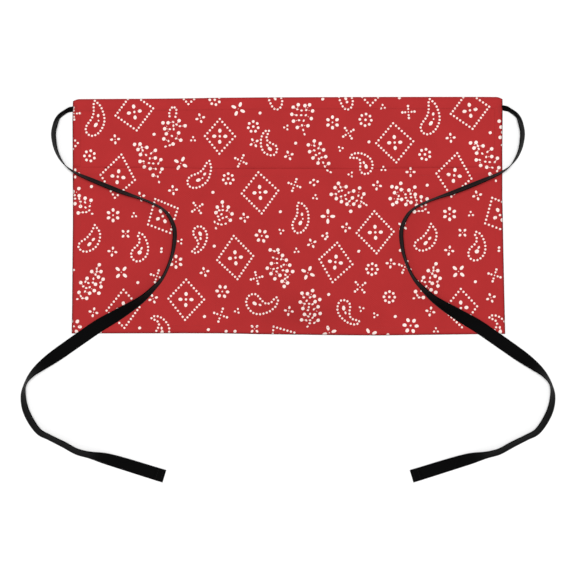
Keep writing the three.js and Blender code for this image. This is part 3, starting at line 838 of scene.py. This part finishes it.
            (-159, -98, 20), (-251, 49.7, 0), (105, 35.5, -8), (-40, 86, 30), (1, 71, 20), (1, -112.5, -9),
            (-98.5, -66.5, 15), (-39.5, -133.5, 45), (-191.5, -21.5, 45), (135, -12.4, 54),
        ]},
        "bigQuatrefoils": {"rings": [(4, 5.7, 2.95, 1.75)], "middle": 0.6, "places": [
            (-58.7, 125.8, 65), (-126.6, 61.6, 62), (47, -1, 0), (23.5, -67.5, 65), (-196.5, -66.9, 48),
            (48.8, -138.1, 17), (97, -141, 27),
        ]},
        "crosses": {"rings": [(4, 7.25, 1.42, 1.42), (4, 3.8, 1.2, 1.2)], "middle": 0.85, "places": [
            (-252.7, 120.3, 4, 0.97), (-107, 9, 35), (7.5, 36, -20), (71.2, 97.2, 33), (-154.6, -71.6, -18),
            (-79.5, -117.4, -19, 1.1), (-37, -73.6, 14, 0.95), (137.7, -60.6, -23), (85, -84.5, 40, 1.07),
            (-55.7, 64.6, 64),
        ]},
        "trefoils": {"rings": [(3, 2.55, 1.28, 1.15)], "middle": 0, "places": [
            (-112, 90, 90), (-2, 104, 60), (62, 79, 15), (-181.5, 0.3, 95), (-127, -30.5, 55),
            (-8, -18.5, 19), (-60, -112.5, 70), (111.9, 128, 98), (74, 48.5, 60), (112.5, 55, 90),
            (32, 21.5, 82), (10, -41.5, 95), (86.5, -110, 15), (103, -117.5, 3), (-223.2, -136.2, 90),
        ]},
    },
    "bigDots": [
        (-158, 96), (-88.5, 27.5), (-9, 4.5), (-87, -36), (-177, -79), (-175, -132.5), (-98.5, -119),
        (41, 137.5), (131.5, 139), (-33, 121), (9, 85.5), (95.5, 87), (-231.8, 34.3), (83.5, -42),
        (48, -93), (126.5, -119), (-94, -134.5), (-73, -136.5), (-62.5, -136.5), (117.8, -140.5),
        (132.5, -41),
    ],
    "smallDots": [
        (30.2, 41.9), (34.9, 40.1), (30.7, 36), (26.3, 38.9), (45.8, -21), (40.8, -23.9), (46.3, -24.9),
        (44.1, -27.5), (-149.1, -38.9), (-149.3, -42.7), (69.6, 133.9),
    ],
}


def blob(spot, long, wide, turn=0):  # a printed dot or petal with a slightly uneven rim
    count = bandana["rimPoints"][long >= bandana["longShape"]]
    rim = []
    for i in range(count):
        angle = 2 * math.pi * i / count
        uneven = dice.uniform(*bandana["unevenRim"])
        x, y = long * uneven * math.cos(angle), wide * uneven * math.sin(angle)
        rim.append((spot[0] + x * math.cos(turn) - y * math.sin(turn),
                    spot[1] + x * math.sin(turn) + y * math.cos(turn)))
    return rim


def roundDot(spot, radius=bandana["dot"]):
    return blob(spot, radius, radius)


def drawLozenge(corners):
    drawn = []
    for a, b in zip(corners, corners[1:] + corners[:1]):
        count = round(math.dist(a, b) / bandana["lozengeStep"])
        drawn += [roundDot((mix(a[0], b[0], i / count), mix(a[1], b[1], i / count))) for i in range(count)]
    top, right, bottom, left = (Vector(c) for c in corners)
    middle = (top + right + bottom + left) / 4
    for axis in (top - bottom, right - left):
        for way in (1, -1):
            spot = middle + axis.normalized() * way * bandana["lozengeReach"]
            drawn.append(blob(spot, *bandana["lozengePetal"], math.atan2(axis.y, axis.x)))
    return drawn + [roundDot(middle, bandana["lozengeMiddle"])]


def drawPaisley(bulb, tip, hollow, kind, fullness=1):
    shape, bulb = bandana["shapes"][kind], Vector(bulb)
    points = [Vector((a, b * hollow * fullness)) for a, b in shape["outline"]]
    axis = Vector(tip) - bulb
    scale = axis.length / points[0].length
    turn = math.atan2(axis.y, axis.x) - math.atan2(points[0].y, points[0].x)

    def onCloth(a, b):
        return bulb + scale * Vector((a * math.cos(turn) - b * math.sin(turn),
                                      a * math.sin(turn) + b * math.cos(turn)))

    line = [onCloth(*p) for p in points + points[:1]]
    drawn = [roundDot(line[k].lerp(line[k + 1], share))
             for _, k, share in evenSteps(line, bandana["paisleyStep"])[:-1]]
    return drawn + [blob(onCloth(a, b * hollow), long, wide, turn + lean * hollow)
                    for a, b, long, wide, lean in shape["seeds"]]


def drawSprig(berries, buds, loop=()):
    drawn = [blob(berry, *bandana["berry"]) for berry in berries]
    for bud, following in zip(buds, buds[1:] + buds[-2:-1]):  # buds point along the stem
        turn = math.atan2(following[1] - bud[1], following[0] - bud[0])
        drawn.append(blob(bud, *bandana["bud"], turn))
    for berry in berries:  # a crumb of white joins each berry to its nearest bud
        bud = min((Vector(bud) for bud in buds), key=lambda b: (b - Vector(berry)).length)
        gap = Vector(berry) - bud
        spot = bud + gap * bandana["crumbPlace"]
        drawn.append(blob(spot, *bandana["crumb"], math.atan2(gap.y, gap.x)))
    return drawn + [roundDot(spot) for spot in loop]


def drawMotif(rings, middle, x, y, turn, reach=1, growth=1):
    drawn = []
    for count, radius, long, wide in rings:
        for i in range(count):
            angle = math.radians(turn) + 2 * math.pi * i / count
            spot = x + radius * reach * math.cos(angle), y + radius * reach * math.sin(angle)
            drawn.append(blob(spot, long * growth, wide * growth, angle))
    return drawn + ([roundDot((x, y), middle * growth)] if middle else [])


def drawChart():  # every printed shape of one repeat
    drawn = []
    for corners in bandana["lozenges"]:
        drawn += drawLozenge(corners)
    for paisley in bandana["paisleys"]:
        drawn += drawPaisley(*paisley)
    for sprig in bandana["sprigs"]:
        drawn += drawSprig(**sprig)
    for motif in bandana["motifs"].values():
        for place in motif["places"]:
            drawn += drawMotif(motif["rings"], motif["middle"], *place)
    for kind in ("bigDot", "smallDot"):
        drawn += [blob(spot, *bandana[kind]) for spot in bandana[kind + "s"]]
    return drawn


printed = [[(x + along + lean * y + wider * x, y + rise + taller * y) for x, y in shape]
           for shape in drawChart() for along, rise, lean, wider, taller in bandana["repeats"]]
print("print charted,", len(printed), "shapes")


def follow(edge, steps):  # lines at these steps from an edge
    return [lambda place, step=step: edge(place) + step for step in steps]


def level(places):  # straight lines at these places
    return [lambda other, place=place: place for place in places]


def spread(low, high, step):
    count = round((high - low) / step)
    return [low + (high - low) * i / count for i in range(1, count)]


def inward(steps):  # the same steps from a right or an upper edge
    return [-step for step in reversed(steps)]


def triangles(outline, inside, shapes):  # flat triangles of a sheet, each with a mark for printed ones
    points, faces = list(outline) + list(inside), [list(range(len(outline)))]
    for shape in shapes:
        faces.append(list(range(len(points), len(points) + len(shape))))
        points += shape
    spots, _, cells, _, _, sources = delaunay_2d_cdt([Vector(p) for p in points], [], faces, 1, 1e-4, True)
    kept = []
    for cell, source in zip(cells, sources):
        if 0 in source:
            a, b, c = (spots[i] for i in cell)
            turned = (b - a).cross(c - a) < 0
            kept.append((cell[::-1] if turned else cell, max(source) > 0))
    return spots, kept


def rimOf(cells):  # the closed run of edges that belong to one triangle each, counter-clockwise
    edges = {}
    for cell, _ in cells:
        for a, b in zip(cell, cell[1:] + cell[:1]):
            edges[a, b] = True
    following = {a: b for a, b in edges if (b, a) not in edges}
    first = next(iter(following))
    rim = [first]
    while following[rim[-1]] != first:
        rim.append(following[rim[-1]])
    return rim


def sewnSheet(name, grid, backGrid, face, paintedShadingAt, upper, upperHem):  # front and back share their rim
    border = grid[0][:-1] + [line[-1] for line in grid[:-1]]
    border += grid[-1][:0:-1] + [line[0] for line in grid[:0:-1]]
    inside, backInside = ([spot for line in g[1:-1] for spot in line[1:-1]] for g in (grid, backGrid))
    low = min(y for _, y in border) - bandana["margin"]
    high = max(y for _, y in border) + bandana["margin"]
    near = [shape for shape in printed
            if all(abs(x) < bandana["reach"] and low < y < high for x, y in shape)]
    spots, cells = triangles(border, inside, near)
    used = sorted({i for cell, _ in cells for i in cell})
    place = {i: k for k, i in enumerate(used)}
    points = [(spots[i].x, spots[i].y, face(spots[i].x, spots[i].y)) for i in used]
    faces = [tuple(place[i] for i in cell) for cell, _ in cells]
    slots = [1 if inked else 0 for _, inked in cells]
    rim = rimOf(cells)
    backSpots, backCells = triangles([tuple(spots[i]) for i in rim], backInside, [])
    backPlace = {}
    for i, spot in enumerate(backSpots):
        if i < len(rim):
            backPlace[i] = place[rim[i]]
        else:
            backPlace[i] = len(points)
            points.append((spot.x, spot.y, face(spot.x, spot.y, -1)))
    hems = (upperHem, apronCloth["hem"], apronCloth["hem"])
    for cell, _ in backCells:
        faces.append(tuple(backPlace[i] for i in reversed(cell)))
        middle = sum((backSpots[i] for i in cell), Vector((0, 0))) / 3
        turnedIn = any(inset < hem for inset, hem in zip(insets(upper, *middle), hems))
        slots.append(0 if turnedIn else 2)
    sheet = meshObject(name, points, faces, [redTwill, whitePrint, twillBack], slots)
    # painted light and shade, per point, that the cloth materials scale their colour by
    paintedShadings = sheet.data.attributes.new("paintedShading", "FLOAT", "POINT")
    paintedShadings.data.foreach_set("value", [paintedShadingAt(x, y) for x, y, _ in points])
    return sheet


def frontSteps(seam):
    return apronCloth["foldSteps"] + [seam + step for step in apronCloth["seamSteps"]]


def backSteps(hem):
    return apronCloth["backFoldSteps"] + [hem + step for step in apronCloth["backHemSteps"]]


def clothGrid(upper, hemSteps, upperSteps, across, inner):  # a column gives x at a height, a row y at an x
    columns = follow(leftEdge, hemSteps) + level(across) + follow(rightEdge, inward(hemSteps))
    rows = follow(bottomEdge, hemSteps) + inner + follow(upper, inward(upperSteps))
    grid = []
    for row in rows:
        heights = [row(column(row(0))) for column in columns]
        grid.append([(column(y), y) for column, y in zip(columns, heights)])
    return grid


def bodyGrid(hemSteps, waistSteps, step):
    below, above = (level(spread(*apronCloth[part], step)) for part in ("gridBelow", "gridAbove"))
    rows = below + follow(mouthEdge, apronCloth["mouthSteps"]) + above
    return clothGrid(topEdge, hemSteps, waistSteps, spread(*apronCloth["gridAcross"], step), rows)


def pocketGrid(hemSteps, step):
    dividers, clear = pocketCloth["dividers"], pocketCloth["dividerClear"]
    close = [divider + way for divider in dividers for way in pocketCloth["dividerSteps"]]
    plain = [x for x in spread(*apronCloth["gridAcross"], step)
             if all(abs(x - divider) > clear for divider in dividers)]
    rows = level(spread(*pocketCloth["gridUp"], step))
    return clothGrid(mouthEdge, hemSteps, hemSteps, sorted(plain + close), rows)


seam, waistSeam, hem, waistHem = (apronCloth[name] for name in ("seam", "waistSeam", "hem", "waistHem"))
apron = sewnSheet("apron_cloth", bodyGrid(frontSteps(seam), frontSteps(waistSeam), apronCloth["grid"]),
                  bodyGrid(backSteps(hem), backSteps(waistHem), apronCloth["backGrid"]),
                  bodyFace, bodyPaintedShading, topEdge, waistHem)
pocket = sewnSheet("pocket_cloth", pocketGrid(frontSteps(seam), apronCloth["grid"]),
                   pocketGrid(backSteps(hem), pocketCloth["backGrid"]),
                   pocketFace, pocketPaintedShading, mouthEdge, hem)
for cloth, node in ((apron, "apron_panel"), (pocket, "pocket_panel")):
    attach(cloth, "root")
    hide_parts(node)
    print(cloth.name, "ready,", len(cloth.data.polygons), "triangles")

# Stitches: rows of thread along the seams
seams = {
    "seam": {"Pitch": 3.2, "Stitch length": 2.7, "Turn": 0},  # mm and degrees
    "tack": {"Pitch": 0.55, "Stitch length": 2.4, "Turn": 90},
    "end": {"Pitch": 2.4, "Stitch length": 2, "Turn": 0},
    "thread": 0.5,
    "uneven": (0.9, 1.08),  # shortest and longest stitch
    "sink": 0.06,  # how deep the thread sits in the cloth
    "pointRun": 1.5,  # between the points of a guide line
    "start": 1,  # from an edge to the first stitch
    "mouthGap": 0.6,
    "leftSide": (-137, 124),  # heights between which the side seams run
    "rightSide": (-138, 126),
    "waistHeight": 126,  # heights at which the waist's seam, the mouth and the pocket's seams meet the sides
    "mouthHeight": 57,
    "mouthRow": 47,
    "bottomRow": -131,
    "mouthTack": (-9, -1.2),  # from the mouth
    "tieTack": (121.5, 130.5),
    "tieTackInset": 4.5,
}


def stitchTree():  # instances one stitch at even steps along each line of the mesh
    tree = bpy.data.node_groups.new("seam_stitches", "GeometryNodeTree")
    takes = {"Geometry": "Geometry", "Pitch": "Float", "Stitch length": "Float", "Thread": "Float",
             "Turn": "Float", "Material": "Material"}
    for name, kind in takes.items():
        tree.interface.new_socket(name, in_out="INPUT", socket_type="NodeSocket" + kind)
    tree.interface.new_socket("Geometry", in_out="OUTPUT", socket_type="NodeSocketGeometry")
    given = addNode(tree, "NodeGroupInput")
    lines = addNode(tree, "MeshToCurve", "Curve", {"Mesh": given["Geometry"]})
    places = addNode(tree, "ResampleCurve", "Curve", {
        "Curve": lines, "Length": given["Pitch"]}, mode="LENGTH")
    bead = addNode(tree, "MeshUVSphere", "Mesh", {"Segments": 8, "Rings": 5, "Radius": 0.5})
    size = addNode(tree, "ShaderNodeCombineXYZ", "Vector", {
        "X": given["Stitch length"], "Y": given["Thread"], "Z": given["Thread"]})
    stitch = addNode(tree, "Transform", "Geometry", {"Geometry": bead, "Scale": size})
    run = addNode(tree, "InputTangent", "Tangent")
    facing = addNode(tree, "FunctionNodeAlignRotationToVector", "Rotation", {"Vector": run}, axis="X")
    turn = addNode(tree, "ShaderNodeCombineXYZ", "Vector", {"Z": given["Turn"]})
    turned = addNode(tree, "FunctionNodeRotateRotation", "Rotation", {
        "Rotation": facing, "Rotate By": turn}, rotation_space="LOCAL")
    shortest, longest = seams["uneven"]
    uneven = addNode(tree, "FunctionNodeRandomValue", 1, {
        2: shortest, 3: longest, "Seed": 11}, data_type="FLOAT")
    sewn = addNode(tree, "InstanceOnPoints", "Instances", {
        "Points": places, "Instance": stitch, "Rotation": turned, "Scale": uneven})
    for kind in ("RealizeInstances", "SetShadeSmooth"):
        sewn = addNode(tree, kind, "Geometry", {"Geometry": sewn})
    coloured = addNode(tree, "SetMaterial", "Geometry", {
        "Geometry": sewn, "Material": given["Material"]})
    addNode(tree, "NodeGroupOutput", feeds={"Geometry": coloured})
    return tree


stitching = stitchTree()


def sew(name, lines, kind, material):  # lines are runs of points in millimetres
    points, edges = [], []
    for line in lines:
        edges += [(len(points) + i, len(points) + i + 1) for i in range(len(line) - 1)]
        points += line
    mesh = bpy.data.meshes.new(name)
    mesh.from_pydata([[c * mm for c in p] for p in points], edges, [])
    guide = bpy.data.objects.new(name, mesh)
    bpy.context.collection.objects.link(guide)
    modifier = guide.modifiers.new("stitches", "NODES")
    modifier.node_group = stitching
    values = {"Pitch": kind["Pitch"] * mm, "Stitch length": kind["Stitch length"] * mm,
              "Thread": seams["thread"] * mm, "Turn": math.radians(kind["Turn"]), "Material": material}
    for item in stitching.interface.items_tree:
        if item.in_out == "INPUT" and item.name in values:
            modifier[item.identifier] = values[item.name]
    made = bpy.data.meshes.new_from_object(guide.evaluated_get(bpy.context.evaluated_depsgraph_get()))
    guide.modifiers.clear()
    guide.data = made
    made.name = name
    return guide


def onFace(face, lines):  # lays flat runs of points on a cloth
    return [[(x, y, face(x, y) - seams["sink"]) for x, y in line] for line in lines]


def between(low, high):
    count = max(round(abs(high - low) / seams["pointRun"]), 2)
    return [low + (high - low) * i / count for i in range(count + 1)]


def rowAlong(edge, inset, height):  # from side to side, along an upper or lower edge
    low, high = leftEdge(height) + seams["start"], rightEdge(height) - seams["start"]
    return [(x, edge(x) + inset) for x in between(low, high)]


def rowUp(edge, inset, low, high):
    return [(edge(y) + inset, y) for y in between(low, high)]


start, mouthGap = seams["start"], seams["mouthGap"]
(leftFoot, leftTop), (rightFoot, rightTop) = seams["leftSide"], seams["rightSide"]
leftMouth = mouthEdge(leftEdge(seams["mouthHeight"]) + seam)
rightMouth = mouthEdge(rightEdge(seams["mouthHeight"]) - seam)
bodySeams = [
    rowAlong(topEdge, -waistSeam, seams["waistHeight"]),
    rowUp(leftEdge, seam, leftMouth + start, leftTop),
    rowUp(rightEdge, -seam, rightMouth + start, rightTop),
]
pocketSeams = [
    rowAlong(mouthEdge, -seam, seams["mouthRow"]),
    rowUp(leftEdge, seam, leftFoot, leftMouth - mouthGap),
    rowUp(rightEdge, -seam, rightFoot, rightMouth - mouthGap),
    rowAlong(bottomEdge, seam, seams["bottomRow"]),
]
pocketSeams += [[(x, y) for y in between(bottomEdge(x) + start, mouthEdge(x) - mouthGap)]
                for x in pocketCloth["dividers"]]
mouthTacks = [[(x, y) for y in between(*(mouthEdge(x) + step for step in seams["mouthTack"]))]
              for x in pocketCloth["dividers"]]
rootPlaces = [leftEdge(seams["waistHeight"]) + seams["tieTackInset"],
              rightEdge(seams["waistHeight"]) - seams["tieTackInset"]]
rootTacks = [[(x, y) for y in between(*seams["tieTack"])] for x in rootPlaces]
endLines = []
reach, count = ribbonTie["endStitchRow"]
for side in (-1, 1):
    for back in ribbonTie["endStitches"]:
        section = min(tieSections, key=lambda s: abs(s["left"] - back))
        row = [ribbonPoint(section, reach * i / count, endFace) for i in range(-count, count + 1)]
        endLines.append([onSide(section, side, p) for p in row])
bodyThread = sew("apron_stitches", onFace(bodyFace, bodySeams), seams["seam"], redThread)
pocketThread = sew("pocket_stitches", onFace(pocketFace, pocketSeams), seams["seam"], redThread)
pocketTacks = sew("pocket_bar_tacks", onFace(pocketFace, mouthTacks), seams["tack"], redThread)
tieTacks = sew("tie_bar_tacks", onFace(bodyFace, rootTacks), seams["tack"], redThread)
endThread = sew("tie_end_stitches", endLines, seams["end"], blackThread)
for thread in (bodyThread, pocketThread, pocketTacks, tieTacks, endThread):
    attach(thread, "root")
    print(thread.name, "ready,", len(thread.data.polygons), "faces")

print("apron ready")
